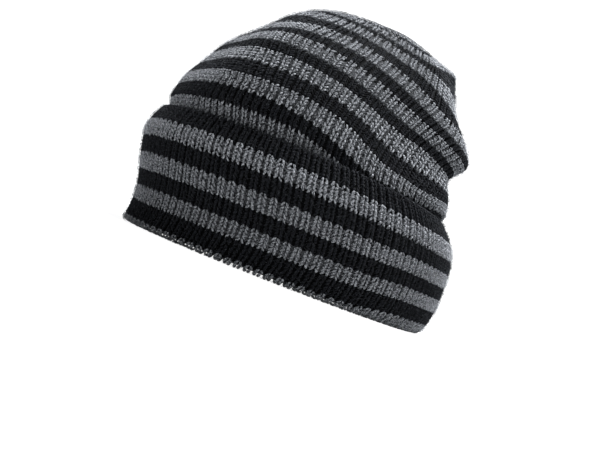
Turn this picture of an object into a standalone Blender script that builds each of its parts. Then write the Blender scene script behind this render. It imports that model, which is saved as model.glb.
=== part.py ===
"""A ribbed knit beanie with a turned-up cuff, standing by itself on its rim.

Metres, +Z up. The hat's front is -Y, the wearer's left is +X, and the rim rests on z = 0.
Azimuth is measured round the hat from the front: 0 at -Y, 90 at +X, 180 at +Y.
"""
import math
from collections import namedtuple

import bmesh
import bpy
from mathutils import Vector

# Driving dimensions, in metres
LENGTH = 0.217         # front to back over the cuff
BREADTH = 0.169        # side to side over the cuff
HEIGHT = 0.1735        # rim to the crown's full height, which its top ring almost reaches
CUFF_HEIGHT = 0.0686   # depth of the turned-up band
CUFF_WALL = 0.0038     # thickness of the knit in the cuff
CROWN_WALL = 0.0032    # thickness of the knit in the crown
FOOT_THICKNESS = 0.0036  # knit under the crown's lower edge, where the fabric turns up
FOLD_RADIUS = 0.0036   # outer roundness of the turned fold
FOLD_INNER_RADIUS = 0.0018  # the fold's roundness on the head's side
CLEARANCE = 0.0004     # between the crown and the cuff that wraps it
SEAT_GAP = 0.0009      # between the crown's lower edge and the fold under it
SPREAD_ABOVE_CUFF = 0.8  # how fast the slack crown may widen above the cuff's top edge

# Fineness of the lofts
SEGMENTS = 48          # points round each ring
EDGE_STEPS = 4         # steps round the cuff's top edge
FOLD_STEPS = 3         # steps round each roundness of the fold
RING_STEPS = 3         # rings made from each row of the crown's table

# The cuff's outer surface. Height is a share of CUFF_HEIGHT, front and back are shares of
# half the LENGTH, and side is a share of half the BREADTH. The band leans out at the front
# and tucks in under the crown's overhang at the back.
CuffSection = namedtuple("CuffSection", "height front back side")
CUFF_SECTIONS = (
    CuffSection(0.00, 0.930, 0.960, 0.940),
    CuffSection(0.12, 0.920, 0.985, 0.958),
    CuffSection(0.24, 0.920, 0.998, 0.974),
    CuffSection(0.38, 0.935, 1.000, 0.986),
    CuffSection(0.52, 0.962, 0.996, 0.996),
    CuffSection(0.66, 0.986, 0.984, 1.000),
    CuffSection(0.78, 1.000, 0.958, 0.994),
    CuffSection(0.88, 0.988, 0.908, 0.976),
    CuffSection(1.00, 0.958, 0.825, 0.946),
)

# The crown above the cuff: a row just over its edge, one for each grey stripe of the knit
# from the second up, and one near the top.
# front_y, back_y: shares of half the LENGTH. front_z, back_z: shares of the rise from the
# cuff's top to HEIGHT. half_width and shift: shares of half the BREADTH. side_rise: how far
# the sides of the ring lie above its front and back, as a share of that rise. fullness: how
# far the ring swells between its front, sides and back.
CrownRing = namedtuple(
    "CrownRing", "front_y front_z back_y back_z half_width side_rise shift fullness")
CROWN_RINGS = (
    CrownRing(0.925, 0.085, 0.770, 0.010, 0.905, 0.030, -0.010, 0.060),
    CrownRing(0.882, 0.215, 0.735, 0.040, 0.880, 0.036, -0.012, 0.100),
    CrownRing(0.795, 0.371, 0.705, 0.120, 0.845, 0.044, -0.020, 0.125),
    CrownRing(0.714, 0.516, 0.718, 0.285, 0.800, 0.039, -0.025, 0.130),
    CrownRing(0.610, 0.645, 0.750, 0.415, 0.745, 0.034, -0.022, 0.080),
    CrownRing(0.500, 0.778, 0.700, 0.590, 0.665, 0.015, -0.019, -0.020),
    CrownRing(0.365, 0.872, 0.640, 0.772, 0.545, -0.010, -0.015, -0.040),
    CrownRing(0.200, 0.943, 0.500, 0.900, 0.365, -0.012, -0.015, -0.030),
    CrownRing(-0.040, 0.988, 0.300, 0.966, 0.170, -0.008, -0.015, 0.000),
)
# The gathered closure at the top: where the ribs meet, sunk a little in its pucker.
Closure = namedtuple("Closure", "y z shift")
CROWN_CLOSURE = Closure(0.140, 0.966, -0.015)

# Folds of the slack crown at the back left, as soft swellings and creases.
# azimuth, spread: degrees. row, reach: rows of CROWN_RINGS, counted from 0. out, drop:
# shares of the rise from the cuff's top to HEIGHT.
Fold = namedtuple("Fold", "azimuth spread row reach out drop")
CROWN_FOLDS = (
    Fold(118.0, 28.0, 1.30, 1.10, 0.000, 0.050),
    Fold(184.0, 34.0, 2.70, 1.10, 0.000, -0.095),
    Fold(160.0, 38.0, 3.40, 0.75, 0.046, 0.000),
    Fold(160.0, 34.0, 2.50, 0.42, -0.080, 0.000),
    Fold(167.0, 28.0, 6.38, 0.70, 0.000, -0.078),
    Fold(150.0, 33.0, 6.73, 0.41, 0.054, 0.000),
    Fold(205.0, 24.0, 5.60, 0.80, -0.018, 0.000),
    Fold(102.0, 22.0, 6.80, 0.60, -0.017, 0.000),
    Fold(37.0, 53.0, 7.10, 0.90, 0.000, 0.022),
)

KNIT_COLOURS = {"crown": (0.055, 0.056, 0.060, 1.0), "cuff": (0.075, 0.076, 0.080, 1.0)}
KNIT_ROUGHNESS = 0.95

HALF_LENGTH = LENGTH / 2
HALF_BREADTH = BREADTH / 2
CROWN_RISE = HEIGHT - CUFF_HEIGHT


def clear_scene():
    for item in list(bpy.data.objects):
        bpy.data.objects.remove(item, do_unlink=True)


def between(rows, position):
    """A row read from a smooth curve through the table's rows, at a fractional position."""
    last = len(rows) - 1
    position = min(max(position, 0.0), float(last))
    low = min(int(position), last - 1)
    t = position - low
    before = rows[max(low - 1, 0)]
    start = rows[low]
    end = rows[low + 1]
    after = rows[min(low + 2, last)]
    values = []
    for a, b, c, d in zip(before, start, end, after):
        bend = (2 * a - 5 * b + 4 * c - d) * t * t + (3 * (b - c) + d - a) * t * t * t
        values.append(b + 0.5 * ((c - a) * t + bend))
    return type(start)(*values)


def cuff_section(height):
    """The cuff's section at a share of its height."""
    low = 0
    while low < len(CUFF_SECTIONS) - 2 and CUFF_SECTIONS[low + 1].height < height:
        low += 1
    span = CUFF_SECTIONS[low + 1].height - CUFF_SECTIONS[low].height
    return between(CUFF_SECTIONS, low + (height - CUFF_SECTIONS[low].height) / span)


def cuff_point(azimuth, z, inset):
    """A point of the cuff at height z, inset horizontally from its outer surface."""
    section = cuff_section(min(max(z / CUFF_HEIGHT, 0.0), 1.0))
    half = HALF_LENGTH * (section.front + section.back) / 2
    middle = HALF_LENGTH * (section.back - section.front) / 2
    side = HALF_BREADTH * section.side
    outward = Vector((math.sin(azimuth) / side, -math.cos(azimuth) / half, 0.0)).normalized()
    point = Vector((side * math.sin(azimuth), middle - half * math.cos(azimuth), z))
    return point - outward * inset


def cuff_wall_heights():
    """Heights between the cuff's fold and its rounded top edge, a ring at each."""
    lowest = max(FOLD_RADIUS, FOOT_THICKNESS) + SEAT_GAP
    highest = CUFF_HEIGHT - CUFF_WALL / 2
    heights = [s.height * CUFF_HEIGHT for s in CUFF_SECTIONS]
    return [z for z in heights if lowest < z < highest]


def cuff_profile():
    """The cuff's cross-section as (inset, z) pairs: down the outside, round the fold, under
    the crown's lower edge, and up the inside to the rounded top edge."""
    edge = CUFF_WALL / 2
    whole = CUFF_WALL + CLEARANCE + CROWN_WALL
    wall = cuff_wall_heights()
    profile = []
    for step in range(EDGE_STEPS + 1):
        turn = math.pi * step / EDGE_STEPS
        profile.append((edge + edge * math.cos(turn), CUFF_HEIGHT - edge + edge * math.sin(turn)))
    profile += [(0.0, z) for z in reversed(wall)]
    for step in range(FOLD_STEPS + 1):
        turn = math.pi / 2 * step / FOLD_STEPS
        inset = FOLD_RADIUS * (1 - math.cos(turn))
        profile.append((inset, FOLD_RADIUS * (1 - math.sin(turn))))
    for step in range(FOLD_STEPS + 1):
        turn = math.pi / 2 * step / FOLD_STEPS
        inset = whole - FOLD_INNER_RADIUS * (1 - math.sin(turn))
        profile.append((inset, FOLD_INNER_RADIUS * (1 - math.cos(turn))))
    profile.append((whole, FOOT_THICKNESS))
    profile.append((CUFF_WALL, FOOT_THICKNESS))
    profile += [(CUFF_WALL, z) for z in wall]
    return profile


def crown_ring_point(ring, azimuth):
    """A point of one tilted ring of the crown."""
    front_z = CUFF_HEIGHT + CROWN_RISE * ring.front_z
    back_z = CUFF_HEIGHT + CROWN_RISE * ring.back_z
    front = Vector((0.0, -HALF_LENGTH * ring.front_y, front_z))
    back = Vector((0.0, HALF_LENGTH * ring.back_y, back_z))
    swell = 1 + ring.fullness * math.sin(2 * azimuth) ** 2
    centre = (front + back) / 2
    point = centre + (front - centre) * math.cos(azimuth) * swell
    point.x = HALF_BREADTH * (ring.shift + ring.half_width * math.sin(azimuth) * swell)
    point.z += CROWN_RISE * ring.side_rise * math.sin(azimuth) ** 2
    return point


def fold_move(azimuth, row, outward):
    """How far the crown's folds move a point."""
    move = Vector((0.0, 0.0, 0.0))
    for fold in CROWN_FOLDS:
        turn = (math.degrees(azimuth) - fold.azimuth + 180.0) % 360.0 - 180.0
        weight = math.exp(-(turn / fold.spread) ** 2 - ((row - fold.row) / fold.reach) ** 2)
        move += outward * (CROWN_RISE * fold.out * weight)
        move.z -= CROWN_RISE * fold.drop * weight
    return move


def crown_point(azimuth, row):
    """A point of the crown's outer surface above the cuff, at a fractional table row."""
    point = crown_ring_point(between(CROWN_RINGS, row), azimuth)
    outward = Vector((math.sin(azimuth) / BREADTH, -math.cos(azimuth) / LENGTH, 0.0))
    point += fold_move(azimuth, row, outward.normalized())
    return clear_of_cuff(point, azimuth)


def clear_of_cuff(point, azimuth):
    """Near the cuff's top edge the crown keeps inside the band, and above it spreads freely."""
    above = max(point.z - CUFF_HEIGHT, 0.0)
    limit = cuff_point(azimuth, min(point.z, CUFF_HEIGHT), CUFF_WALL + CLEARANCE)
    reach = math.hypot(limit.x, limit.y) + above * SPREAD_ABOVE_CUFF
    distance = math.hypot(point.x, point.y)
    if distance > reach:
        point.x *= reach / distance
        point.y *= reach / distance
    return point


def crown_rows():
    """The crown's outer surface as a list of rings, from its lower edge to the closure."""
    azimuths = [2 * math.pi * i / SEGMENTS for i in range(SEGMENTS)]
    inset = CUFF_WALL + CLEARANCE
    heights = [FOOT_THICKNESS + SEAT_GAP] + cuff_wall_heights()
    heights += [CUFF_HEIGHT - CUFF_WALL / 2, CUFF_HEIGHT]
    rows = [[cuff_point(a, z, inset) for a in azimuths] for z in heights]
    last = len(CROWN_RINGS) - 1
    for step in range(last * RING_STEPS + 1):
        rows.append([crown_point(a, step / RING_STEPS) for a in azimuths])
    return rows


def knit_material(name):
    material = bpy.data.materials.new(name)
    material.use_nodes = True
    shader = material.node_tree.nodes["Principled BSDF"]
    shader.inputs["Base Color"].default_value = KNIT_COLOURS[name]
    shader.inputs["Roughness"].default_value = KNIT_ROUGHNESS
    shader.inputs["Metallic"].default_value = 0.0
    return material


def add_ring(mesh, points):
    """A closed loop of edges through the points."""
    made = bmesh.ops.create_circle(mesh, segments=len(points), radius=1.0)
    for vertex, point in zip(made["verts"], points):
        vertex.co = point
    return made["verts"]


def bridge(mesh, lower, upper):
    """Quads between two rings, each point joined to the same point of the other ring."""
    for i in range(len(lower)):
        after = (i + 1) % len(lower)
        mesh.faces.new((lower[i], lower[after], upper[after], upper[i]))


def finish(mesh, name):
    """The finished mesh as an object with its own material, shaded smooth."""
    bmesh.ops.recalc_face_normals(mesh, faces=mesh.faces)
    data = bpy.data.meshes.new(name)
    mesh.to_mesh(data)
    mesh.free()
    data.shade_smooth()
    data.materials.append(knit_material(name))
    item = bpy.data.objects.new(name, data)
    bpy.context.scene.collection.objects.link(item)
    return item


def make_crown():
    """A shell closed at its gathered top and open at the head, walled by Solidify."""
    mesh = bmesh.new()
    rings = [add_ring(mesh, row) for row in crown_rows()]
    for lower, upper in zip(rings, rings[1:]):
        bridge(mesh, lower, upper)
    closure_z = CUFF_HEIGHT + CROWN_RISE * CROWN_CLOSURE.z
    tip = mesh.verts.new((HALF_BREADTH * CROWN_CLOSURE.shift, HALF_LENGTH * CROWN_CLOSURE.y,
                          closure_z))
    for i in range(SEGMENTS):
        mesh.faces.new((rings[-1][i], rings[-1][(i + 1) % SEGMENTS], tip))
    crown = finish(mesh, "crown")
    wall = crown.modifiers.new("wall", "SOLIDIFY")
    wall.thickness = CROWN_WALL
    wall.offset = -1.0
    wall.use_even_offset = True
    wall.use_quality_normals = True
    return crown


def make_cuff():
    """The turned-up band with its fold, lofted round the hat as a closed cross-section."""
    azimuths = [2 * math.pi * i / SEGMENTS for i in range(SEGMENTS)]
    mesh = bmesh.new()
    rings = []
    for inset, z in cuff_profile():
        rings.append(add_ring(mesh, [cuff_point(a, z, inset) for a in azimuths]))
    for ring, following in zip(rings, rings[1:] + rings[:1]):
        bridge(mesh, ring, following)
    return finish(mesh, "cuff")


clear_scene()
make_crown()
make_cuff()
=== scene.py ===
# %% [markdown]
# # A striped rib-knit beanie with a turned-up cuff
#
# The hat is one tube of 1x1 rib, knitted in bands of marled grey and black yarn, gathered at the
# top and turned up once at the bottom. This lesson lays real knit stitches on its smooth form.

# %% Load the frame
import math
from collections import namedtuple

import bmesh
import bpy
import numpy as np
from mathutils import Matrix, Vector


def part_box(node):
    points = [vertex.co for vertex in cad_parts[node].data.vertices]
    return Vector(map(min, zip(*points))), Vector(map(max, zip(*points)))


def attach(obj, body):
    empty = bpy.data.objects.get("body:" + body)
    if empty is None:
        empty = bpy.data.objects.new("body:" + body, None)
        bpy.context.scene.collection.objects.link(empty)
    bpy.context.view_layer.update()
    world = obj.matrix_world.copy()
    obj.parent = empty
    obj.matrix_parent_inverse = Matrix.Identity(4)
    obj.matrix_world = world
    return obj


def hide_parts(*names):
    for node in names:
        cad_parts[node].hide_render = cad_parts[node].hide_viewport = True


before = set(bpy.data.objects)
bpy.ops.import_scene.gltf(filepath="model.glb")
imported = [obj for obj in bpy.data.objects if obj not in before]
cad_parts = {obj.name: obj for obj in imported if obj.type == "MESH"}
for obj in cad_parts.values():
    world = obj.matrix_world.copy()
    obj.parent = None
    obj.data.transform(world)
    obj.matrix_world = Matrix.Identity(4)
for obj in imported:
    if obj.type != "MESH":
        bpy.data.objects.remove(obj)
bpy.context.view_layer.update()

cuff_low, cuff_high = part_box("cuff")

# %% [markdown]
# ## The camera
#
# The hat is seen from its front left, 60 degrees round from the front, from just above the height
# of its rim, with the camera rolled by 22 degrees. A real camera close to the hat gives the same
# perspective, so its place and lens are set as real sizes.

# %% Camera
CAMERA_PLACE = (0.3565, -0.20335, 0.0176)
CAMERA_TURN = 60.02      # degrees round the hat from its front
CAMERA_RISE = 2.55       # degrees that it looks up
CAMERA_ROLL = 21.97      # degrees, which turns the picture clockwise
CAMERA_LENS = 39.48      # mm, on a sensor 36 mm wide
SENSOR_WIDTH = 36.0
CAMERA_NEAR = 0.01       # metres, nearer than anything in view


def make_camera():
    """A camera aimed from its named angles."""
    turn, rise, roll = (math.radians(a) for a in (CAMERA_TURN, CAMERA_RISE, CAMERA_ROLL))
    ahead = Vector((-math.sin(turn), math.cos(turn), 0.0))
    right = Vector((math.cos(turn), math.sin(turn), 0.0))
    up = Vector((0.0, 0.0, 1.0))
    ahead, up = ahead * math.cos(rise) + up * math.sin(rise), up * math.cos(rise) - ahead * math.sin(rise)
    right, up = right * math.cos(roll) + up * math.sin(roll), up * math.cos(roll) - right * math.sin(roll)
    lens = bpy.data.cameras.new("camera")
    lens.lens = CAMERA_LENS
    lens.sensor_width = SENSOR_WIDTH
    lens.clip_start = CAMERA_NEAR
    camera = bpy.data.objects.new("camera", lens)
    camera.matrix_world = Matrix.Translation(CAMERA_PLACE) @ Matrix((right, up, -ahead)).transposed().to_4x4()
    bpy.context.scene.collection.objects.link(camera)
    bpy.context.scene.camera = camera
    return camera


camera = make_camera()
print("camera looks along", [round(v, 3) for v in -camera.matrix_world.col[2].xyz])

# %% [markdown]
# ## The smooth form
#
# The knit follows two smooth surfaces: the cuff, set out as horizontal sections, and the slack
# crown, set out as tilted rings with soft folds. Both are tables of shares of the hat's own sizes,
# read through a smooth curve, so a stitch can be laid anywhere on them.

# %% Sizes of the form
LENGTH = cuff_high.y - cuff_low.y
BREADTH = cuff_high.x - cuff_low.x
CUFF_HEIGHT = cuff_high.z - cuff_low.z
HEIGHT = 0.1735          # rim to the full height that the crown's rings are set out in
CUFF_WALL = 0.0038
CROWN_WALL = 0.0032
FOLD_RADIUS = 0.0036     # outer roundness of the turned fold
FOLD_INNER_RADIUS = 0.0018
CLEARANCE = 0.0004       # between the crown and the cuff
SPREAD_ABOVE_CUFF = 0.8  # how fast the crown may widen above the cuff's top edge
HALF_LENGTH = LENGTH / 2
HALF_BREADTH = BREADTH / 2
CROWN_RISE = HEIGHT - CUFF_HEIGHT

# %% Tables of the form
# height in CUFF_HEIGHTs, front and back in half LENGTHs, side in half BREADTHs
CuffSection = namedtuple("CuffSection", "height front back side")
CUFF_SECTIONS = (
    CuffSection(0.00, 0.930, 0.960, 0.940),
    CuffSection(0.12, 0.920, 0.985, 0.958),
    CuffSection(0.24, 0.920, 0.998, 0.974),
    CuffSection(0.38, 0.935, 1.000, 0.986),
    CuffSection(0.52, 0.962, 0.996, 0.996),
    CuffSection(0.66, 0.986, 0.984, 1.000),
    CuffSection(0.78, 1.000, 0.958, 0.994),
    CuffSection(0.88, 0.988, 0.908, 0.976),
    CuffSection(1.00, 0.958, 0.825, 0.946),
)
# y in half LENGTHs from the middle, z in CROWN_RISEs above the cuff, half_width and shift in half
# BREADTHs. side_rise, in CROWN_RISEs, lifts a ring's sides. fullness is the share by which a ring
# swells halfway between its front, sides and back.
CrownRing = namedtuple(
    "CrownRing", "front_y front_z back_y back_z half_width side_rise shift fullness")
CROWN_RINGS = (
    CrownRing(0.925, 0.085, 0.770, 0.010, 0.905, 0.030, -0.010, 0.060),
    CrownRing(0.882, 0.215, 0.735, 0.040, 0.880, 0.036, -0.012, 0.100),
    CrownRing(0.795, 0.371, 0.705, 0.120, 0.845, 0.044, -0.020, 0.125),
    CrownRing(0.714, 0.516, 0.718, 0.285, 0.800, 0.039, -0.025, 0.130),
    CrownRing(0.610, 0.645, 0.750, 0.415, 0.745, 0.034, -0.022, 0.080),
    CrownRing(0.500, 0.778, 0.700, 0.590, 0.665, 0.015, -0.019, -0.020),
    CrownRing(0.365, 0.872, 0.640, 0.772, 0.545, -0.010, -0.015, -0.040),
    CrownRing(0.200, 0.943, 0.500, 0.900, 0.365, -0.012, -0.015, -0.030),
    CrownRing(-0.040, 0.988, 0.300, 0.966, 0.170, -0.008, -0.015, 0.000),
)
Closure = namedtuple("Closure", "y z shift")
CROWN_CLOSURE = Closure(0.140, 0.966, -0.015)
# azimuth and spread in degrees, row and reach in rows of rings, out and drop in CROWN_RISEs
Fold = namedtuple("Fold", "azimuth spread row reach out drop")
CROWN_FOLDS = (
    Fold(118.0, 28.0, 1.30, 1.10, 0.000, 0.050),
    Fold(184.0, 34.0, 2.70, 1.10, 0.000, -0.095),
    Fold(160.0, 38.0, 3.40, 0.75, 0.046, 0.000),
    Fold(160.0, 34.0, 2.50, 0.42, -0.080, 0.000),
    Fold(167.0, 28.0, 6.38, 0.70, 0.000, -0.078),
    Fold(150.0, 33.0, 6.73, 0.41, 0.054, 0.000),
    Fold(205.0, 24.0, 5.60, 0.80, -0.018, 0.000),
    Fold(102.0, 22.0, 6.80, 0.60, -0.017, 0.000),
    Fold(37.0, 53.0, 7.10, 0.90, 0.000, 0.022),
)


def wrapped(degrees):
    """Degrees brought between -180 and 180."""
    return (degrees + 180.0) % 360.0 - 180.0


def smooth_rows(rows, position):
    """Columns of a table read from smooth curves through its rows, at fractional positions."""
    rows = np.asarray(rows, float)
    last = len(rows) - 1
    position = np.clip(position, 0.0, last)
    low = np.minimum(position.astype(int), last - 1)
    t = (position - low)[..., None]
    a, b, c, d = (rows[np.clip(low + step, 0, last)] for step in (-1, 0, 1, 2))
    bend = (2 * a - 5 * b + 4 * c - d) * t * t + (3 * (b - c) + d - a) * t * t * t
    return np.moveaxis(b + 0.5 * ((c - a) * t + bend), -1, 0)


def cuff_points(azimuth, z, inset):
    """Points of the cuff at height z, inset horizontally from its outer surface."""
    heights = [section.height for section in CUFF_SECTIONS]
    places = np.arange(len(heights), dtype=float)
    position = np.interp(np.clip(z / CUFF_HEIGHT, 0.0, 1.0), heights, places)
    _, front, back, side = smooth_rows(CUFF_SECTIONS, position)
    half = HALF_LENGTH * (front + back) / 2
    middle = HALF_LENGTH * (back - front) / 2
    side = HALF_BREADTH * side
    out_x = np.sin(azimuth) / side
    out_y = -np.cos(azimuth) / half
    size = np.hypot(out_x, out_y)
    x = side * np.sin(azimuth) - inset * out_x / size
    y = middle - half * np.cos(azimuth) - inset * out_y / size
    return np.stack(np.broadcast_arrays(x, y, z), axis=-1)


def ring_points(azimuth, row):
    """Points of the crown's outer surface above the cuff, at fractional rows of its table."""
    ring = CrownRing(*smooth_rows(CROWN_RINGS, row))
    swell = 1 + ring.fullness * np.sin(2 * azimuth) ** 2
    middle_y = HALF_LENGTH * (ring.back_y - ring.front_y) / 2
    middle_z = CUFF_HEIGHT + CROWN_RISE * (ring.front_z + ring.back_z) / 2
    reach = np.cos(azimuth) * swell
    x = HALF_BREADTH * (ring.shift + ring.half_width * np.sin(azimuth) * swell)
    y = middle_y - HALF_LENGTH * (ring.front_y + ring.back_y) / 2 * reach
    z = middle_z + CROWN_RISE * (ring.front_z - ring.back_z) / 2 * reach
    z = z + CROWN_RISE * ring.side_rise * np.sin(azimuth) ** 2
    out_x = np.sin(azimuth) / BREADTH
    out_y = -np.cos(azimuth) / LENGTH
    size = np.hypot(out_x, out_y)
    for fold in CROWN_FOLDS:
        turn = wrapped(np.degrees(azimuth) - fold.azimuth)
        weight = np.exp(-(turn / fold.spread) ** 2 - ((row - fold.row) / fold.reach) ** 2)
        x = x + out_x / size * CROWN_RISE * fold.out * weight
        y = y + out_y / size * CROWN_RISE * fold.out * weight
        z = z - CROWN_RISE * fold.drop * weight
    limit = cuff_points(azimuth, np.minimum(z, CUFF_HEIGHT), CUFF_WALL + CLEARANCE)
    reach = np.hypot(limit[..., 0], limit[..., 1]) + np.maximum(z - CUFF_HEIGHT, 0) * SPREAD_ABOVE_CUFF
    scale = np.minimum(reach / np.maximum(np.hypot(x, y), 1e-6), 1.0)
    return np.stack((x * scale, y * scale, z), axis=-1)


print("hat", round(BREADTH * 1000), "x", round(LENGTH * 1000), "mm, cuff", round(CUFF_HEIGHT * 1000, 1))

# %% [markdown]
# ## The cloth: ribs and courses
#
# Knitted cloth has its own coordinates: the rib number round the hat, and the course, which is the
# row of stitches. A `Cloth` holds the form as a fine grid over those two, with its outward normal,
# and any point of a stitch is read from it. The knit then bends, narrows and folds with the form.

# %% Cloth
RIBS = 108               # ribs round the hat
COLUMNS = 4 * RIBS       # grid columns round the hat
LEVELS_PER_COURSE = 2
AZIMUTHS = 2 * np.pi * np.arange(COLUMNS) / COLUMNS


def cloth_levels(first, last):
    """The course at each grid level, from the first up to and with the last."""
    return np.arange(first, last + 0.01, 1 / LEVELS_PER_COURSE)


class Cloth:
    """A knitted surface as a grid over turns round the hat and courses."""

    def __init__(self, points, first):
        self.points = points
        self.first = first
        around = np.roll(points, -1, axis=0) - np.roll(points, 1, axis=0)
        along = np.gradient(points, axis=1)
        normals = np.cross(around, along)
        self.normals = normals / np.maximum(np.linalg.norm(normals, axis=-1, keepdims=True), 1e-12)
        self.pitch = np.linalg.norm(around, axis=-1) / 2 * COLUMNS / RIBS

    def read(self, grid, turns, course):
        """A grid's values at turns round the hat and at courses, blended between its points."""
        column = (np.asarray(turns) % 1.0) * COLUMNS
        # Kept just under the last level, so that there is one above it
        level = np.clip((np.asarray(course) - self.first) * LEVELS_PER_COURSE, 0, grid.shape[1] - 1.001)
        left = column.astype(int) % COLUMNS
        low = level.astype(int)
        right = (left + 1) % COLUMNS
        along = level - low
        across = column - np.floor(column)
        if grid.ndim == 3:
            along = along[..., None]
            across = across[..., None]
        lower = grid[left, low] * (1 - across) + grid[right, low] * across
        upper = grid[left, low + 1] * (1 - across) + grid[right, low + 1] * across
        return lower * (1 - along) + upper * along

    def place(self, turns, course, out):
        """Points at a distance out from the surface."""
        point = self.read(self.points, turns, course)
        return point + self.read(self.normals, turns, course) * np.asarray(out)[..., None]


# %% [markdown]
# ## Where the courses run
#
# Ten courses make one pair of stripes. On the cuff the stripes lie at measured heights. On the
# crown they drift: level at the front, lower over the ear, and crowded in the folds at the back.
# The table says at which row of the crown's rings each grey stripe is centred, every 15 degrees.

# %% Courses of the crown
COURSE = 0.00184         # height of a course where the knit isn't pulled
PAIR = 10                # courses in a grey stripe and the black one above it
GREY = 5                 # of them grey
# below: how wide the courses under the second stripe are, in COURSEs. open: how much the middle
# of the second stripe is stretched. The rest: the row where each stripe is centred.
Stripes = namedtuple(
    "Stripes", "below open second third fourth fifth sixth seventh eighth ninth tenth")
STRIPE_STEP = 15.0       # degrees between the table's rows, from the front to the back
STRIPE_ROWS = (
    Stripes(1.15, 0.0, 0.97, 2.05, 2.97, 3.85, 5.10, 5.92, 6.84, 7.58, 8.26),
    Stripes(1.15, 0.0, 0.96, 2.02, 2.95, 3.85, 5.08, 5.88, 6.84, 7.58, 8.26),
    Stripes(1.13, 0.0, 0.93, 1.98, 2.92, 3.85, 5.00, 5.80, 6.84, 7.58, 8.26),
    Stripes(1.08, 0.1, 0.92, 1.93, 2.88, 3.88, 4.94, 5.72, 6.84, 7.58, 8.26),
    Stripes(1.04, 0.4, 0.91, 1.93, 2.87, 3.92, 4.90, 5.74, 6.86, 7.61, 8.28),
    Stripes(1.00, 0.8, 0.62, 1.88, 2.84, 3.90, 4.87, 5.74, 6.91, 7.65, 8.30),
    Stripes(1.00, 0.5, 0.04, 1.84, 2.77, 3.85, 4.97, 5.92, 7.02, 7.70, 8.35),
    Stripes(1.00, 0.3, 0.28, 2.06, 2.82, 3.76, 5.02, 6.52, 7.30, 7.88, 8.42),
    Stripes(1.00, 0.2, 1.05, 2.20, 2.88, 3.78, 5.08, 6.92, 7.52, 8.02, 8.50),
    Stripes(1.00, 0.1, 1.40, 2.28, 2.90, 3.83, 5.10, 6.96, 7.56, 8.05, 8.52),
    Stripes(1.00, 0.0, 0.90, 2.12, 2.88, 3.87, 5.05, 6.84, 7.50, 8.02, 8.50),
    Stripes(1.00, 0.0, 0.20, 1.85, 2.86, 3.88, 5.00, 6.60, 7.40, 7.97, 8.48),
    Stripes(1.00, 0.0, -0.20, 1.72, 2.85, 3.88, 4.97, 6.35, 7.32, 7.94, 8.46),
)
OPEN_REACH = 4.0         # courses each way that the stretch of the second stripe reaches
CROWN_FIRST = -16        # lowest course of the crown's cloth, at the rim
CROWN_LAST = 104         # the closure
SECOND_STRIPE = 2 * PAIR
CLOSURE_ROW = len(CROWN_RINGS)
BELOW = 3.7              # rows that the crown reaches below the cuff's top, inside the cuff
LINE_POINTS = 400        # along which the length of the crown's cloth is measured


def crown_surface(azimuth, row):
    """The crown's whole outer surface: inside the cuff below row -1, rings from row 0 to the
    closure, straight runs between them."""
    inset = CUFF_WALL + CLEARANCE
    inside = cuff_points(azimuth, CUFF_HEIGHT + np.minimum(row + 1, 0.0) * PAIR * COURSE, inset)
    rings = ring_points(azimuth, np.clip(row, 0.0, CLOSURE_ROW - 1))
    tip = np.array((HALF_BREADTH * CROWN_CLOSURE.shift, HALF_LENGTH * CROWN_CLOSURE.y,
                    CUFF_HEIGHT + CROWN_RISE * CROWN_CLOSURE.z))
    rise = np.clip(row + 1, 0.0, 1.0)[..., None]
    close = np.clip(row - CLOSURE_ROW + 1, 0.0, 1.0)[..., None]
    points = inside * (1 - rise) + rings * rise
    return points * (1 - close) + tip * close


def crown_rows_of(azimuth, courses):
    """For each azimuth, the crown's row at each course: by the stripe table above the second
    stripe, and evenly spaced along the cloth below it."""
    station = np.abs(wrapped(np.degrees(azimuth))) / STRIPE_STEP
    below, stretch, *centres = smooth_rows(STRIPE_ROWS, station)
    centres = np.array(centres)
    steps = np.linspace(-1.0 - BELOW, CLOSURE_ROW, LINE_POINTS)
    rows = np.empty((len(azimuth), len(courses)))
    table_courses = SECOND_STRIPE + PAIR * np.arange(len(centres) + 1, dtype=float)
    table_courses[-1] = CROWN_LAST
    for i, a in enumerate(azimuth):
        line = crown_surface(np.full(len(steps), a), steps)
        length = np.concatenate(([0.0], np.cumsum(np.linalg.norm(np.diff(line, axis=0), axis=1))))
        second = np.interp(centres[0, i], steps, length)
        from_second = courses - SECOND_STRIPE
        from_second = from_second * (1 + stretch[i] * np.exp(-(from_second / OPEN_REACH) ** 2))
        under = np.interp(second + from_second * COURSE * below[i], length, steps)
        stops = np.concatenate((centres[:, i], [CLOSURE_ROW]))
        place = np.interp(from_second + SECOND_STRIPE, table_courses, np.arange(len(stops), dtype=float))
        over = smooth_rows(stops[:, None], place)[0]
        rows[i] = np.where(from_second < 0, under, over)
    return rows


def make_crown_cloth():
    rows = crown_rows_of(AZIMUTHS, cloth_levels(CROWN_FIRST, CROWN_LAST))
    wide = np.broadcast_to(AZIMUTHS[:, None], rows.shape)
    return Cloth(crown_surface(wide.ravel(), rows.ravel()).reshape(*rows.shape, 3), CROWN_FIRST)


crown_cloth = make_crown_cloth()
print("crown cloth", crown_cloth.points.shape, "rib pitch at the third stripe in mm",
      round(float(crown_cloth.read(crown_cloth.pitch, 0.2, 30)) * 1000, 2))

# %% [markdown]
# The cuff is the same tube turned up, so its courses run from inside the rim, round the fold and
# up to the hem. The rim's grey stripe is the one that the fold runs through.

# %% Courses of the cuff
CUFF_FIRST = -2          # lowest course, on the inside above the rim
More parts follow.
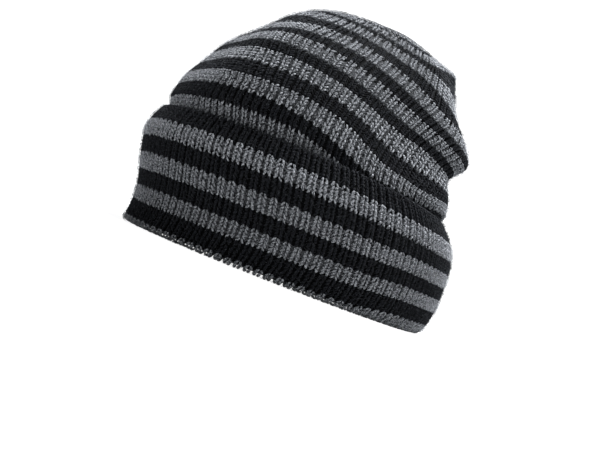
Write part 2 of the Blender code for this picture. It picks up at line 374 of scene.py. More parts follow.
# A course, and the height in metres where it lies on the outside
CuffCourse = namedtuple("CuffCourse", "course height")
CUFF_COURSES = (
    CuffCourse(6, 0.0036),
    CuffCourse(11, 0.0134),
    CuffCourse(16, 0.0213),
    CuffCourse(21, 0.0301),
    CuffCourse(26, 0.0390),
    CuffCourse(31, 0.0483),
    CuffCourse(36, 0.0581),
)
HEM_COURSE = 41          # where the hem's roundness begins
HEM_LAST = 46            # past the hem, on the inner side
HEM_INSIDE = 2           # courses between the hem's roundness and the last one
RIM_INSIDE = 0.0036      # how far the cuff's cloth runs up the inside, above the fold
# The cuff is turned up deeper at the back, so the lower courses lie higher there
BACK_SHIFT = 1.7         # courses
BACK_FROM = 80.0         # degrees from the front, where the shift starts
BACK_TO = 112.0          # and where it is whole
SHIFT_COURSES = (CUFF_FIRST, 4, 14, 31)  # the shift is whole between the middle two
# Points of the cross-section's line in each of its parts
INSIDE_POINTS = 7
QUARTER_POINTS = 13
WALL_POINTS = 60
HEM_POINTS = 17


def cuff_section_line():
    """The cuff's cross-section as fine (inset, z) points with the course at each: down the inside
    to the rim, round the fold, up the outside and over the hem."""
    whole = CUFF_WALL + CLEARANCE + CROWN_WALL
    edge = CUFF_WALL / 2
    quarter = np.linspace(0.0, math.pi / 2, QUARTER_POINTS)
    half = np.linspace(0.0, math.pi, HEM_POINTS)
    inside_top = FOLD_INNER_RADIUS + RIM_INSIDE
    inside = [(whole, z) for z in np.linspace(inside_top, FOLD_INNER_RADIUS, INSIDE_POINTS)]
    inner = [(whole - FOLD_INNER_RADIUS * (1 - math.cos(t)), FOLD_INNER_RADIUS * (1 - math.sin(t)))
             for t in quarter[1:]]
    outer = [(FOLD_RADIUS * (1 - math.sin(t)), FOLD_RADIUS * (1 - math.cos(t))) for t in quarter]
    line = inside + inner + outer
    steps = np.hypot(*np.diff(np.array(line), axis=0).T)
    length = np.concatenate(([0.0], np.cumsum(steps)))
    courses = list(CUFF_FIRST + (CUFF_COURSES[0].course - CUFF_FIRST) * length / length[-1])
    wall_top = CUFF_HEIGHT - edge
    known = (*CUFF_COURSES, CuffCourse(HEM_COURSE, wall_top))
    for z in np.linspace(FOLD_RADIUS, wall_top, WALL_POINTS)[1:]:
        line.append((0.0, z))
        courses.append(np.interp(z, [k.height for k in known], [k.course for k in known]))
    for t in half[1:]:
        line.append((edge - edge * math.cos(t), wall_top + edge * math.sin(t)))
        courses.append(HEM_COURSE + (HEM_LAST - HEM_INSIDE - HEM_COURSE) * t / math.pi)
    line.append((CUFF_WALL, wall_top - HEM_INSIDE * COURSE))
    courses.append(HEM_LAST)
    return np.array(line), np.array(courses)


def make_cuff_cloth():
    line, known = cuff_section_line()
    courses = cloth_levels(CUFF_FIRST, HEM_LAST)
    turned = np.abs(wrapped(np.degrees(AZIMUTHS)))
    share = np.clip((turned - BACK_FROM) / (BACK_TO - BACK_FROM), 0.0, 1.0)
    shift = BACK_SHIFT * share ** 2 * (3 - 2 * share)
    place = courses + shift[:, None] * np.interp(courses, SHIFT_COURSES, (0.0, 1.0, 1.0, 0.0))
    inset = np.interp(place.ravel(), known, line[:, 0])
    z = np.interp(place.ravel(), known, line[:, 1])
    points = cuff_points(np.repeat(AZIMUTHS, len(courses)), z, inset)
    return Cloth(points.reshape(COLUMNS, len(courses), 3), CUFF_FIRST)


cuff_cloth = make_cuff_cloth()
print("cuff cloth", cuff_cloth.points.shape, "rib pitch in mm",
      round(float(cuff_cloth.read(cuff_cloth.pitch, 0.2, 20)) * 1000, 2))

# %% [markdown]
# ## Yarn
#
# The grey yarn is marled: pale and dark fibres spun together, so it shows fine light and dark
# flecks. The black one is the same acrylic without the pale fibres. Both are matte, with a soft
# halo of loose fibre. The fleck and fibre pattern is one node group, and each yarn mixes its own
# colours with it. It reads a map in millimetres, along and round the yarn. Where the knit is only a
# surface, a second group adds the Vs of the stitches from that same map.

# %% Yarn pattern
BAKE_MAP = "OFBake"      # a cell for each leg of a stitch, none over another
YARN_MAP = "yarn"        # millimetres along and round the yarn
RIB_PITCH = 0.0055       # of the stretched knit, where a stitch has its full size
TUFT_SCALE = (1.5, 1.1, 1.0)  # for each millimetre along and round the yarn
FIBRE_SCALE = (1.2, 4.2, 1.0)
FIBRES_IN_FLECKS = 0.8   # beside the tufts
TUFTS_IN_HEIGHT = 0.6    # beside the fibres
FLECK_RANGE = (0.76, 1.08)  # where the flecks go from none to whole
V_SLOPE = 2.6            # courses that the leg of a V climbs in a rib's width
V_LIFT = 1.6             # what lifts the legs above the gaps between them
RIB_SIDE = (0.48, 0.30)  # ribs from its middle: where the side of a rib starts, and where it is whole


def socket(group, name, kind, way):
    return group.interface.new_socket(name=name, socket_type=kind, in_out=way)


def link_math(tree, operation, *values):
    """A Math node fed with sockets or plain numbers."""
    node = tree.nodes.new("ShaderNodeMath")
    node.operation = operation
    for place, value in enumerate(values):
        if isinstance(value, bpy.types.NodeSocket):
            tree.links.new(value, node.inputs[place])
        else:
            node.inputs[place].default_value = value
    return node.outputs[0]


def noise(tree, vector, detail):
    node = tree.nodes.new("ShaderNodeTexNoise")
    node.inputs["Scale"].default_value = 1.0
    node.inputs["Detail"].default_value = detail
    node.inputs["Roughness"].default_value = 0.5
    tree.links.new(vector, node.inputs["Vector"])
    return node.outputs["Fac"]


def stretched(tree, vector, scale):
    node = tree.nodes.new("ShaderNodeMapping")
    node.inputs["Scale"].default_value = scale
    tree.links.new(vector, node.inputs["Vector"])
    return node.outputs["Vector"]


def ranged(tree, value, low, high):
    """A value spread smoothly from 0 at low to 1 at high."""
    node = tree.nodes.new("ShaderNodeMapRange")
    node.interpolation_type = "SMOOTHSTEP"
    node.inputs["From Min"].default_value = low
    node.inputs["From Max"].default_value = high
    tree.links.new(value, node.inputs["Value"])
    return node.outputs["Result"]


def make_yarn_group():
    """Flecks, from 0 to 1, and the height of tufts and fibres, on a map in millimetres."""
    group = bpy.data.node_groups.new("yarn", "ShaderNodeTree")
    socket(group, "Map", "NodeSocketVector", "INPUT")
    socket(group, "Flecks", "NodeSocketFloat", "OUTPUT")
    socket(group, "Height", "NodeSocketFloat", "OUTPUT")
    start = group.nodes.new("NodeGroupInput")
    end = group.nodes.new("NodeGroupOutput")
    tufts = noise(group, stretched(group, start.outputs["Map"], TUFT_SCALE), 1.0)
    fibres = noise(group, stretched(group, start.outputs["Map"], FIBRE_SCALE), 2.0)
    mixed = link_math(group, "ADD", tufts, link_math(group, "MULTIPLY", fibres, FIBRES_IN_FLECKS))
    group.links.new(ranged(group, mixed, *FLECK_RANGE), end.inputs["Flecks"])
    height = link_math(group, "ADD", fibres, link_math(group, "MULTIPLY", tufts, TUFTS_IN_HEIGHT))
    group.links.new(height, end.inputs["Height"])
    return group


def make_knit_group():
    """The height of a knit face on a map in millimetres: columns of Vs, one column a rib."""
    group = bpy.data.node_groups.new("knit_face", "ShaderNodeTree")
    socket(group, "Map", "NodeSocketVector", "INPUT")
    socket(group, "Height", "NodeSocketFloat", "OUTPUT")
    start = group.nodes.new("NodeGroupInput")
    end = group.nodes.new("NodeGroupOutput")
    parts = group.nodes.new("ShaderNodeSeparateXYZ")
    scale = (1 / (1000 * RIB_PITCH), 1 / (1000 * COURSE), 1.0)
    group.links.new(stretched(group, start.outputs["Map"], scale), parts.inputs["Vector"])
    offset = link_math(group, "SUBTRACT", link_math(group, "FRACT", parts.outputs["X"]), 0.5)
    side = link_math(group, "ABSOLUTE", offset)
    slope = link_math(group, "MULTIPLY", side, V_SLOPE)
    phase = link_math(group, "SUBTRACT", parts.outputs["Y"], slope)
    wave = link_math(group, "SINE", link_math(group, "MULTIPLY", phase, 2 * math.pi))
    column = ranged(group, side, *RIB_SIDE)
    legs = link_math(group, "MULTIPLY", link_math(group, "ADD", wave, V_LIFT), column)
    group.links.new(legs, end.inputs["Height"])
    return group


yarn_group = make_yarn_group()
knit_group = make_knit_group()

# %% Yarn materials
Yarn = namedtuple("Yarn", "dark light sheen")
YARNS = {
    "marled_grey": Yarn((0.050, 0.052, 0.057, 1.0), (0.52, 0.53, 0.555, 1.0), 0.05),
    "black": Yarn((0.0030, 0.0032, 0.0042, 1.0), (0.019, 0.0205, 0.025, 1.0), 0.05),
    # The next two are the ground between the ribs, coloured darker than its yarn as painted shade of the deep
    # gaps
    "grey_recess_painted_shade": Yarn((0.020, 0.021, 0.023, 1.0), (0.17, 0.174, 0.182, 1.0), 0.0),
    "black_recess_painted_shade": Yarn((0.0025, 0.0027, 0.0032, 1.0), (0.006, 0.0062, 0.007, 1.0), 0.0),
    "grey_inside": Yarn((0.045, 0.047, 0.051, 1.0), (0.50, 0.51, 0.54, 1.0), 0.05),
    "black_inside": Yarn((0.003, 0.0032, 0.004, 1.0), (0.015, 0.016, 0.019, 1.0), 0.03),
    "grey_fibre": Yarn((0.25, 0.255, 0.27, 1.0), (0.65, 0.66, 0.69, 1.0), 0.0),
    "black_fibre": Yarn((0.012, 0.013, 0.015, 1.0), (0.10, 0.105, 0.115, 1.0), 0.0),
}
FLAT_KNITS = ("grey_recess_painted_shade", "black_recess_painted_shade", "grey_inside", "black_inside")
YARN_ROUGHNESS = 0.95
YARN_SPECULAR = 0.1
SHEEN_ROUGHNESS = 0.5
Bump = namedtuple("Bump", "strength metres")
FIBRE_BUMP = Bump(0.5, 0.0003)
STITCH_BUMP = Bump(0.8, 0.0008)


def add_bump(tree, height, bump):
    """A Bump node fed with a height."""
    node = tree.nodes.new("ShaderNodeBump")
    node.inputs["Strength"].default_value = bump.strength
    node.inputs["Distance"].default_value = bump.metres
    tree.links.new(height, node.inputs["Height"])
    return node


def make_yarn(name):
    """A yarn: two colours mixed by its flecks, with fibre in its bump, and stitches where flat."""
    yarn = YARNS[name]
    material = bpy.data.materials.new(name)
    material.use_nodes = True
    tree = material.node_tree
    shader = tree.nodes["Principled BSDF"]
    shader.inputs["Roughness"].default_value = YARN_ROUGHNESS
    shader.inputs["Specular IOR Level"].default_value = YARN_SPECULAR
    shader.inputs["Sheen Weight"].default_value = yarn.sheen
    shader.inputs["Sheen Roughness"].default_value = SHEEN_ROUGHNESS
    map_node = tree.nodes.new("ShaderNodeUVMap")
    map_node.uv_map = YARN_MAP
    pattern = tree.nodes.new("ShaderNodeGroup")
    pattern.node_tree = yarn_group
    tree.links.new(map_node.outputs["UV"], pattern.inputs["Map"])
    mix = tree.nodes.new("ShaderNodeMix")
    mix.data_type = "RGBA"
    mix.inputs["A"].default_value = yarn.dark
    mix.inputs["B"].default_value = yarn.light
    tree.links.new(pattern.outputs["Flecks"], mix.inputs["Factor"])
    tree.links.new(mix.outputs["Result"], shader.inputs["Base Color"])
    bump = add_bump(tree, pattern.outputs["Height"], FIBRE_BUMP)
    if name in FLAT_KNITS:
        face = tree.nodes.new("ShaderNodeGroup")
        face.node_tree = knit_group
        tree.links.new(map_node.outputs["UV"], face.inputs["Map"])
        stitches = add_bump(tree, face.outputs["Height"], STITCH_BUMP)
        tree.links.new(stitches.outputs["Normal"], bump.inputs["Normal"])
    tree.links.new(bump.outputs["Normal"], shader.inputs["Normal"])
    return material


yarns = {name: make_yarn(name) for name in YARNS}
print("yarns", sorted(yarns))

# %% [markdown]
# ## One leg of a stitch
#
# From its face a knit stitch is a V: two legs of yarn that come out of the loop below, lean apart
# and dive under the loop above. A leg is a small closed sphere drawn out along a bent line. The
# Array modifier repeats it, and every copy is then laid on the cloth with numpy, which is far
# quicker than making thousands of objects.

# %% Stitch legs
LEG_SIDES = 5
LEG_RINGS = 4
LEG_LENGTH = 2.9         # millimetres, for the yarn's map
LEG_GIRTH = 3.9
LEG_SHIFT = 3.7          # millimetres on that map from one leg's yarn to the next one's
ROW_SHIFT = 5.3          # and sideways
ROWS_ON_MAP = 89         # sideways shifts before they start again
CELL_MARGIN = 0.06       # shares of a leg's cell on the other map
CELL_LENGTH = 0.88
CELL_GIRTH = 0.70
Leg = namedtuple("Leg", "root start end radius thickness depth")
# A share of a rib for root. Courses for start and end. Metres for the rest.
LEG = Leg(root=0.050, start=-0.70, end=0.70, radius=0.00066, thickness=0.00062, depth=0.00045)
LEG_CURVE = 0.8          # under 1, so a leg spreads from its root quickly and then more slowly
LEG_ENDS = 0.75          # thickness toward the ends, as a share of the middle's
BLUNTNESS = 4            # power that rounds the ends off
DIVE = 0.0007            # how deep the ends of a leg go behind the next ones
ROUND_OFF = 0.0006       # how far a rib's sides lie behind its middle
STITCH_JITTER = 0.08     # of a leg's thickness
STITCH_DRIFT = 0.02      # ribs
STITCH_SLIP = 0.10       # courses
rng = np.random.default_rng(27)


def triangles(mesh):
    """How many triangles a mesh has."""
    return sum(len(p.vertices) - 2 for p in mesh.polygons)


def repeated(sides, rings, count, name):
    """One mesh that holds a unit sphere many times, copy after copy, with its poles along Z."""
    shape = bmesh.new()
    bmesh.ops.create_uvsphere(shape, u_segments=sides, v_segments=rings, radius=1.0)
    seed = bpy.data.meshes.new(name)
    shape.to_mesh(seed)
    shape.free()
    maker = bpy.data.objects.new(name + "_maker", seed)
    bpy.context.scene.collection.objects.link(maker)
    array = maker.modifiers.new("copies", "ARRAY")
    array.count = count
    array.use_relative_offset = False
    array.use_constant_offset = False
    made = bpy.data.meshes.new_from_object(maker.evaluated_get(bpy.context.evaluated_depsgraph_get()))
    made.name = name
    bpy.data.objects.remove(maker, do_unlink=True)
    bpy.data.meshes.remove(seed)
    return made


def coordinates(mesh):
    """A mesh's vertices as an array."""
    flat = np.empty(len(mesh.vertices) * 3)
    mesh.vertices.foreach_get("co", flat)
    return flat.reshape(-1, 3)


def lay_stitches(name, knit, courses):
    """Legs of stitches on a knit's cloth: for each course, its ribs and two legs."""
    places = []
    for level in courses:
        ribs = float(knit.ribs_at(level))
        for rib in range(-math.floor(ribs / 2), math.floor(ribs / 2 - 1 + 1e-6) + 1):
            places += [(rib, level, -1.0, ribs), (rib, level, 1.0, ribs)]
    rib, course, side, ribs = (column[:, None] for column in np.array(places).T)
    count = len(places)
    mesh = repeated(LEG_SIDES, LEG_RINGS, count, name)
    unit = coordinates(mesh).reshape(count, -1, 3)
    size = 1 + STITCH_JITTER * rng.standard_normal((count, 1))
    drift = STITCH_DRIFT * rng.standard_normal((count, 1))
    slip = STITCH_SLIP * rng.standard_normal((count, 1))
    along = (unit[..., 2] + 1) / 2
    bow = np.sin(np.pi * along)
    across = LEG.root + (knit.tip - LEG.root) * along ** LEG_CURVE
    centre = side * across + drift
    level = course + knit.lean * (LEG.start + (LEG.end - LEG.start) * along + slip)
    section = np.sqrt(np.maximum(1 - (2 * along - 1) ** BLUNTNESS, 0.0))
    section = section * (LEG_ENDS + (1 - LEG_ENDS) * bow) * size
    ring = np.hypot(unit[..., 0], unit[..., 1])
    turn_x = np.where(ring > 1e-5, unit[..., 0] / np.maximum(ring, 1e-9), 0.0)
    turn_y = np.where(ring > 1e-5, unit[..., 1] / np.maximum(ring, 1e-9), 0.0)
    slant = math.atan2((knit.tip - LEG.root) * RIB_PITCH, (LEG.end - LEG.start) * COURSE)
    turns = rib + centre + LEG.radius / RIB_PITCH * math.cos(slant) * section * turn_x
    turns = RIB_CENTRE + turns / ribs
    level = level - side * knit.lean * LEG.radius / COURSE * math.sin(slant) * section * turn_x
    pitch = knit.cloth.read(knit.cloth.pitch, turns[:, :1], level[:, :1]) * RIBS / ribs
    scale = np.minimum(pitch / RIB_PITCH, 1.0)
    out = -LEG.depth - DIVE * (1 - bow) ** 2 - ROUND_OFF * (np.abs(centre) / knit.tip) ** 2
    out = out + LEG.thickness * section * turn_y
    points = knit.cloth.place(turns, level, out * scale)
    mesh.vertices.foreach_set("co", points.reshape(-1))
    map_legs(mesh, unit, count)
    return mesh


def put_map(mesh, name, u, v):
    layer = mesh.uv_layers.get(name) or mesh.uv_layers.new(name=name)
    layer.data.foreach_set("uv", np.stack((u, v), axis=-1).ravel())


def corners(mesh):
    """The vertex of each corner, and the first corner of each face."""
    vertex = np.empty(len(mesh.loops), int)
    mesh.loops.foreach_get("vertex_index", vertex)
    starts = np.empty(len(mesh.polygons), int)
    mesh.polygons.foreach_get("loop_start", starts)
    return vertex, starts


def map_legs(mesh, unit, count):
    """Two maps: one in millimetres along and round the yarn, one with a cell for each leg."""
    vertex, starts = corners(mesh)
    copy = vertex // unit.shape[1]
    flat = unit.reshape(-1, 3)[vertex]
    angle = np.arctan2(flat[:, 1], flat[:, 0]) / (2 * np.pi) + 0.5
    # Corners of a face stay together where the angle wraps, and a pole takes their middle
    face = np.repeat(np.arange(len(starts)), np.diff(np.append(starts, len(vertex))))
    pole = np.abs(flat[:, 2]) > 0.999
    most = np.maximum.reduceat(np.where(pole, -1.0, angle), starts)[face]
    angle = np.where((most - angle > 0.5) & ~pole, angle + 1.0, angle)
    body = np.add.reduceat(np.where(pole, 0.0, angle), starts)
    angle = np.where(pole, (body / np.add.reduceat((~pole).astype(float), starts))[face], angle)
    along = (flat[:, 2] + 1) / 2
    sideways = copy % ROWS_ON_MAP * ROW_SHIFT
    put_map(mesh, YARN_MAP, copy * LEG_SHIFT + LEG_LENGTH * along, sideways + LEG_GIRTH * angle)
    cells = math.ceil(math.sqrt(count))
    u = (copy % cells + CELL_MARGIN + CELL_LENGTH * along) / cells
    v = (copy // cells + CELL_MARGIN + CELL_GIRTH * angle) / cells
    put_map(mesh, BAKE_MAP, u, v)


def finish_piece(mesh, name, material, node):
    """The mesh as a piece of the hat, smooth, in its yarn, riding with the hat."""
    if material:
        mesh.materials.clear()
        mesh.materials.append(material)
    mesh.shade_smooth()
    mesh.update()
    piece = bpy.data.objects.new(name, mesh)
    bpy.context.scene.collection.objects.link(piece)
    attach(piece, "root")
    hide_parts(node)
    return piece


# %% [markdown]
# ## Bands of yarn
#
# Toward the closure the ribs grow fewer, so that they stay about as wide. They are counted both
# ways from the hat's left side, and the ones that end do so on its right side, in one line of
# decreases. The marled yarn is a little thicker than the black one, so its courses stand wider.

# %% Bands of stitches
Band = namedtuple("Band", "first last yarn")
# lean is 1 where the Vs point down and -1 where they point up. middle shifts the bands by courses,
# spread is how wide the grey courses stand, and tip is how far a leg ends from its rib's middle.
Knit = namedtuple("Knit", "cloth bands lean middle spread ribs_at tip")
RIB_CENTRE = 70 / 360    # turns round the hat from where the ribs are counted
RIB_COUNTS = (108, 108, 94, 82, 73, 66, 60, 50, 40, 28, 14)  # at each stripe and past the closure
LONGEST_BAND = 6         # courses in one piece


def crown_ribs(course):
    """How many ribs the crown has at a course."""
    return np.interp(course / PAIR, np.arange(1, len(RIB_COUNTS) + 1), RIB_COUNTS)


def cuff_ribs(_course):
    """The cuff has all its ribs at every course."""
    return RIBS


def crown_bands():
    """Bands of courses on the crown, from just under the cuff's top edge to the closure."""
    bands = []
    for first in range(PAIR - GREY // 2, CROWN_LAST - 1, PAIR):
        bands.append(Band(first, min(first + GREY, CROWN_LAST - 1), "marled_grey"))
        if first + GREY < CROWN_LAST - 1:
            bands.append(Band(first + GREY, min(first + PAIR, CROWN_LAST - 1), "black"))
    return bands


CUFF_BANDS = (
    Band(-1, 6, "marled_grey"),
    Band(6, 11, "black"),
    Band(11, 16, "marled_grey"),
    Band(16, 21, "black"),
    Band(21, 26, "marled_grey"),
    Band(26, 31, "black"),
    Band(31, 36, "marled_grey"),
    Band(36, 45, "black"),
)
# The crown's Vs point down, and the turned-up cuff's up
KNITS = {
    "crown": Knit(crown_cloth, crown_bands(), 1.0, -0.1, 1.12, crown_ribs, 0.315),
    "cuff": Knit(cuff_cloth, CUFF_BANDS, -1.0, 0.5, 1.05, cuff_ribs, 0.345),
}


def band_courses(knit, band):
    """Where a band's courses lie, wider apart in the thicker yarn."""
    spread = knit.spread if band.yarn == "marled_grey" else 2 - knit.spread
    middle = (band.first + band.last - 1) / 2
    return knit.middle + middle + (np.arange(band.first, band.last) - middle) * spread


def make_bands(label, knit):
    """Every band as one piece, or as two where it is long."""
    total = 0
    place = 0
    for band in knit.bands:
        courses = band_courses(knit, band)
        for share in np.array_split(courses, math.ceil(len(courses) / LONGEST_BAND)):
            place += 1
            name = f"{label}_stitches_{place:02d}"
            mesh = lay_stitches(name, knit, share)
            finish_piece(mesh, name, yarns[band.yarn], label)
            total += triangles(mesh)
    print(label, place, "pieces of stitches,", total, "triangles")


for label, knit in KNITS.items():
    make_bands(label, knit)

# %% [markdown]
# ## The ground behind the stitches
#
# Between the ribs the cloth dips to its purl side. That ground is a grid wrapped round the hat
# under the stitches, and it turns back at its edges to make the other side of the cloth: the
# inside of the crown, and the side of the cuff that lies against the crown. Its own stitches are
# only bump, as hardly any of it shows. Its outside is coloured far darker than the yarn: painted
# shade for the deep gaps between the ribs.

# %% Ground of the knit
GROUND_COLUMNS = 144
CROWN_GROUND_LEVELS = 160
CUFF_GROUND_LEVELS = 60
GROUND_TEETH = 1.2       # courses that a grey band is narrower in the recesses
RECESS = 0.0020          # depth of the ground under the surface
INSIDE_MARGIN = 0.0004   # how far the crown's inside stays within its wall
CROWN_TURN = 0.5         # share of the crown's ground that is its outside
CUFF_TURN = 0.9          # and of the cuff's
CROWN_MEET = 80          # the crown's sides meet over this fraction of the strip, 1 in 80
CUFF_MEET = 30           # and the cuff's ground sinks to its depth over 1 in 30
FOOT_HEIGHT = 0.0040     # where the cuff's other side turns in under the crown


def wrapped_grid(name, levels, place, look):
    """A closed grid wrapped round the hat. place gives its points from turns and from 0 to 1
    along it. look gives the course, whether it is grey and whether it is the other side."""
    mesh = bmesh.new()
    bmesh.ops.create_grid(mesh, x_segments=GROUND_COLUMNS, y_segments=levels, size=0.5)
    data = bpy.data.meshes.new(name)
    mesh.to_mesh(data)
    mesh.free()
    flat = coordinates(data) + 0.5
    vertex, starts = corners(data)
    turns = flat[vertex, 0]
    along = flat[vertex, 1]
    middle = np.add.reduceat(along, starts) / np.diff(np.append(starts, len(along)))
    put_map(data, BAKE_MAP, turns, along)
    put_map(data, YARN_MAP, turns * RIBS * RIB_PITCH * 1000, look(along)[0] * COURSE * 1000)
    for ground in FLAT_KNITS:
        data.materials.append(yarns[ground])
    _, grey, back = look(middle)
    # FLAT_KNITS order: grey, black outside (painted shade), then grey, black on the other side
    index = np.where(grey, 0, 1) + np.where(back, 2, 0)
    data.polygons.foreach_set("material_index", index.astype(np.int32))
    data.vertices.foreach_set("co", place(flat[:, 0], flat[:, 1]).reshape(-1))
    mesh = bmesh.new()
    mesh.from_mesh(data)
    bmesh.ops.remove_doubles(mesh, verts=mesh.verts, dist=0.00001)
    bmesh.ops.recalc_face_normals(mesh, faces=mesh.faces)
    mesh.to_mesh(data)
    mesh.free()
    return data


def is_grey(course, knit):
    """Where the ground is grey: in the middle courses of each grey band."""
    grey = np.zeros(len(course), bool)
    for band in knit.bands:
        if band.yarn == "marled_grey":
            lie = band_courses(knit, band)
            grey |= np.abs(course - lie.mean()) < (np.ptp(lie) + 1 - GROUND_TEETH) / 2
    return grey


def crown_ground_course(along):
    """Up the outside from the lower edge to the closure, then back down the inside."""
    share = np.where(along < CROWN_TURN, along / CROWN_TURN, (1 - along) / (1 - CROWN_TURN))
    return CROWN_FIRST + 1 + share * (CROWN_LAST - CROWN_FIRST - 1)


def crown_ground_look(along):
    """The stripes go on behind the cuff, below the crown's first band of stitches."""
    course = crown_ground_course(along)
    grey = is_grey(course, KNITS["crown"])
    from_stripe = np.abs((course + PAIR / 2) % PAIR - PAIR / 2)
    hidden = course < KNITS["crown"].bands[0].first - 1
    return course, grey | (hidden & (from_stripe < GREY / 2)), along > CROWN_TURN


def crown_ground_place(turns, along):
    """The two sides of the crown's cloth, which meet at its lower edge."""
    inside = -CROWN_WALL + INSIDE_MARGIN
    edge = np.clip(np.minimum(along, 1 - along) * CROWN_MEET, 0.0, 1.0)
    out = np.where(along < CROWN_TURN, -RECESS, inside) * edge + (inside - RECESS) / 2 * (1 - edge)
    return crown_cloth.place(turns, crown_ground_course(along), out)


def cuff_ground_course(along):
    """Down the inside, round the fold, up the outside and over the hem, where the rest stays."""
    share = np.minimum(along / CUFF_TURN, 1.0)
    return CUFF_FIRST + share * (HEM_LAST - CUFF_FIRST)


def cuff_ground_look(along):
    course = cuff_ground_course(along)
    return course, is_grey(course, KNITS["cuff"]), along > CUFF_TURN


def cuff_ground_place(turns, along):
    """The cuff's outside, then the side against the crown back to where the strip began."""
    edge = np.clip(along * CUFF_MEET, 0.0, 1.0)
    front = cuff_cloth.place(turns, cuff_ground_course(along), -RECESS * edge)
    back = np.clip((along - CUFF_TURN) / (1 - CUFF_TURN), 0.0, 1.0)
    azimuth = 2 * np.pi * turns
    line = cuff_section_line()[0]
    # Down the side against the crown, and in under it
    stops = np.array((line[-1], (CUFF_WALL, FOOT_HEIGHT), (line[0][0], FOOT_HEIGHT), line[0]))
    station = back * (len(stops) - 1)
    inset = np.interp(station, np.arange(len(stops)), stops[:, 0])
    z = np.interp(station, np.arange(len(stops)), stops[:, 1])
    other = cuff_points(azimuth, z, inset)
    return np.where((along > CUFF_TURN)[:, None], other, front)


grounds = {
    "crown": wrapped_grid("crown_ground", CROWN_GROUND_LEVELS, crown_ground_place, crown_ground_look),
    "cuff": wrapped_grid("cuff_ground", CUFF_GROUND_LEVELS, cuff_ground_place, cuff_ground_look),
}
for node, mesh in grounds.items():
    finish_piece(mesh, node + "_ground", None, node)
    print(node, "ground", triangles(mesh), "triangles")

# %% [markdown]
# ## Loose fibres
#
# Soft yarn carries a halo of fibres that stand off it and lie across the neighbouring stripe.
# Each is a thin bent sliver, closed and three-sided, thrown at random over the knit.

# %% Fuzz
Fuzz = namedtuple("Fuzz", "count yarn")
FUZZ = (Fuzz(8200, "grey_fibre"), Fuzz(8800, "black_fibre"))
FUZZ_SHARE = {"crown": 1.0, "cuff": 0.8}
FUZZ_FIRST = 4           # the lowest course with fibres
FUZZ_SHORT = 2           # courses without them at the top
ROOTS_DRAWN = 4          # for each fibre, as only those in its own bands are kept
FIBRE_SIDES = 3
FIBRE_RINGS = 2
FIBRE_LENGTHS = (0.0012, 0.0034)
FIBRE_RADIUS = 0.00009
FIBRE_LIFT = 0.0009      # how far a fibre's free end stands off the yarn
FIBRE_BOW = 0.6          # how far its middle bows out, as a share of that
FIBRE_SINK = 0.0001      # how deep its root lies


def lay_fuzz(name, knit, count, grey):
    """Fibres whose roots lie on the grey bands, or on the others."""
    low = max(knit.bands[0].first + 1, FUZZ_FIRST)
    high = knit.bands[-1].last - FUZZ_SHORT
    roots = low + (high - low) * rng.random(ROOTS_DRAWN * count)
    roots = roots[is_grey(roots, knit) == grey][:count, None]
    count = len(roots)
    mesh = repeated(FIBRE_SIDES, FIBRE_RINGS, count, name)
    unit = coordinates(mesh).reshape(count, -1, 3)
    heading = 2 * np.pi * rng.random((count, 1))
    length = FIBRE_LENGTHS[0] + (FIBRE_LENGTHS[1] - FIBRE_LENGTHS[0]) * rng.random((count, 1)) ** 2
    start = rng.random((count, 1))
    pitch = knit.cloth.read(knit.cloth.pitch, start, roots)
    wide, thick, along = (unit[..., axis] for axis in range(3))
    x = length / 2 * along * np.cos(heading) - FIBRE_RADIUS * wide * np.sin(heading)
    y = length / 2 * along * np.sin(heading) + FIBRE_RADIUS * wide * np.cos(heading)
    out = FIBRE_LIFT * ((1 - along ** 2) * FIBRE_BOW + (along + 1) / 2 * rng.random((count, 1)))
    out = out - FIBRE_SINK + FIBRE_RADIUS * thick
    points = knit.cloth.place(start + x / (pitch * RIBS), roots + y / COURSE, out)
    # None lies under the floor
    points[..., 2] = np.maximum(points[..., 2], 0.0)
    mesh.vertices.foreach_set("co", points.reshape(-1))
    map_legs(mesh, unit, count)
    return mesh


for label, knit in KNITS.items():
    for fuzz in FUZZ:
        name = f"{label}_{fuzz.yarn}"
        mesh = lay_fuzz(name, knit, int(fuzz.count * FUZZ_SHARE[label]), fuzz.yarn == "grey_fibre")
        finish_piece(mesh, name, yarns[fuzz.yarn], label)
        print(name, triangles(mesh), "triangles")

# %% [markdown]
# ## Studio
#
# The hat stands on a pale floor that curves up all round, so that no horizon shows whichever way
# the camera looks, under one large soft light above it and a weak one in front.

# %% Floor and backdrop
STAGE_RADIUS = 1.6
STAGE_CURVE = 0.8
STAGE_HEIGHT = 2.4
CURVE_STEPS = 12
SPIN_STEPS = 96
STAGE_ROUGHNESS = 0.9
STAGE_COLOUR = (0.38, 0.38, 0.38, 1.0)
STAGE_GLOW = 0.90        # lifts the backdrop to a pale tone without lighting the hat from below


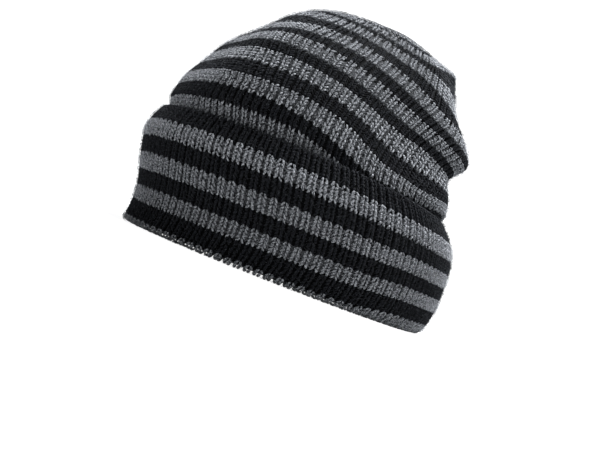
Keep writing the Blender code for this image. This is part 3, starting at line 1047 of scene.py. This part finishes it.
def make_stage():
    """A floor and its curved wall, spun from one line."""
    mesh = bmesh.new()
    line = [(0.0, 0.0), (STAGE_RADIUS, 0.0)]
    for step in range(1, CURVE_STEPS + 1):
        turn = math.pi / 2 * step / CURVE_STEPS
        line.append((STAGE_RADIUS + STAGE_CURVE * math.sin(turn), STAGE_CURVE * (1 - math.cos(turn))))
    line.append((STAGE_RADIUS + STAGE_CURVE, STAGE_HEIGHT))
    made = [mesh.verts.new((x, 0.0, z)) for x, z in line]
    edges = [mesh.edges.new(pair) for pair in zip(made, made[1:])]
    bmesh.ops.spin(mesh, geom=made + edges, cent=(0, 0, 0), axis=(0, 0, 1), angle=2 * math.pi,
                   steps=SPIN_STEPS, use_merge=True)
    bmesh.ops.remove_doubles(mesh, verts=mesh.verts, dist=0.0001)
    bmesh.ops.recalc_face_normals(mesh, faces=mesh.faces)
    data = bpy.data.meshes.new("studio_floor")
    mesh.to_mesh(data)
    mesh.free()
    data.shade_smooth()
    floor = bpy.data.objects.new("studio_floor", data)
    bpy.context.scene.collection.objects.link(floor)
    material = bpy.data.materials.new("studio_floor")
    material.use_nodes = True
    tree = material.node_tree
    shader = tree.nodes["Principled BSDF"]
    shader.inputs["Base Color"].default_value = STAGE_COLOUR
    shader.inputs["Roughness"].default_value = STAGE_ROUGHNESS
    shader.inputs["Emission Color"].default_value = (1.0, 1.0, 1.0, 1.0)
    seen = tree.nodes.new("ShaderNodeLightPath")
    glow = link_math(tree, "MULTIPLY", seen.outputs["Is Camera Ray"], STAGE_GLOW)
    tree.links.new(glow, shader.inputs["Emission Strength"])
    data.materials.append(material)
    return floor


make_stage()

# %% Lights
Lamp = namedtuple("Lamp", "place size power colour")
LAMPS = (
    Lamp((0.15, 0.40, 1.85), 0.9, 106.0, (0.94, 0.97, 1.0)),
    Lamp((-0.2, -1.4, 0.7), 1.0, 2.7, (0.96, 0.98, 1.0)),
)
LAMP_AIM = (0.0, 0.0, 0.09)
WORLD_COLOUR = (0.96, 0.98, 1.0, 1.0)
WORLD_STRENGTH = 0.20


def add_lamp(lamp):
    light = bpy.data.lights.new("softbox", "AREA")
    light.size = lamp.size
    light.energy = lamp.power
    light.color = lamp.colour
    item = bpy.data.objects.new("softbox", light)
    away = Vector(lamp.place) - Vector(LAMP_AIM)
    item.matrix_world = Matrix.Translation(lamp.place) @ away.to_track_quat("Z", "Y").to_matrix().to_4x4()
    bpy.context.scene.collection.objects.link(item)


def make_world():
    world = bpy.data.worlds.new("studio")
    world.use_nodes = True
    background = world.node_tree.nodes["Background"]
    background.inputs["Color"].default_value = WORLD_COLOUR
    background.inputs["Strength"].default_value = WORLD_STRENGTH
    bpy.context.scene.world = world


for lamp in LAMPS:
    add_lamp(lamp)
make_world()
bpy.context.scene.view_settings.view_transform = "Standard"
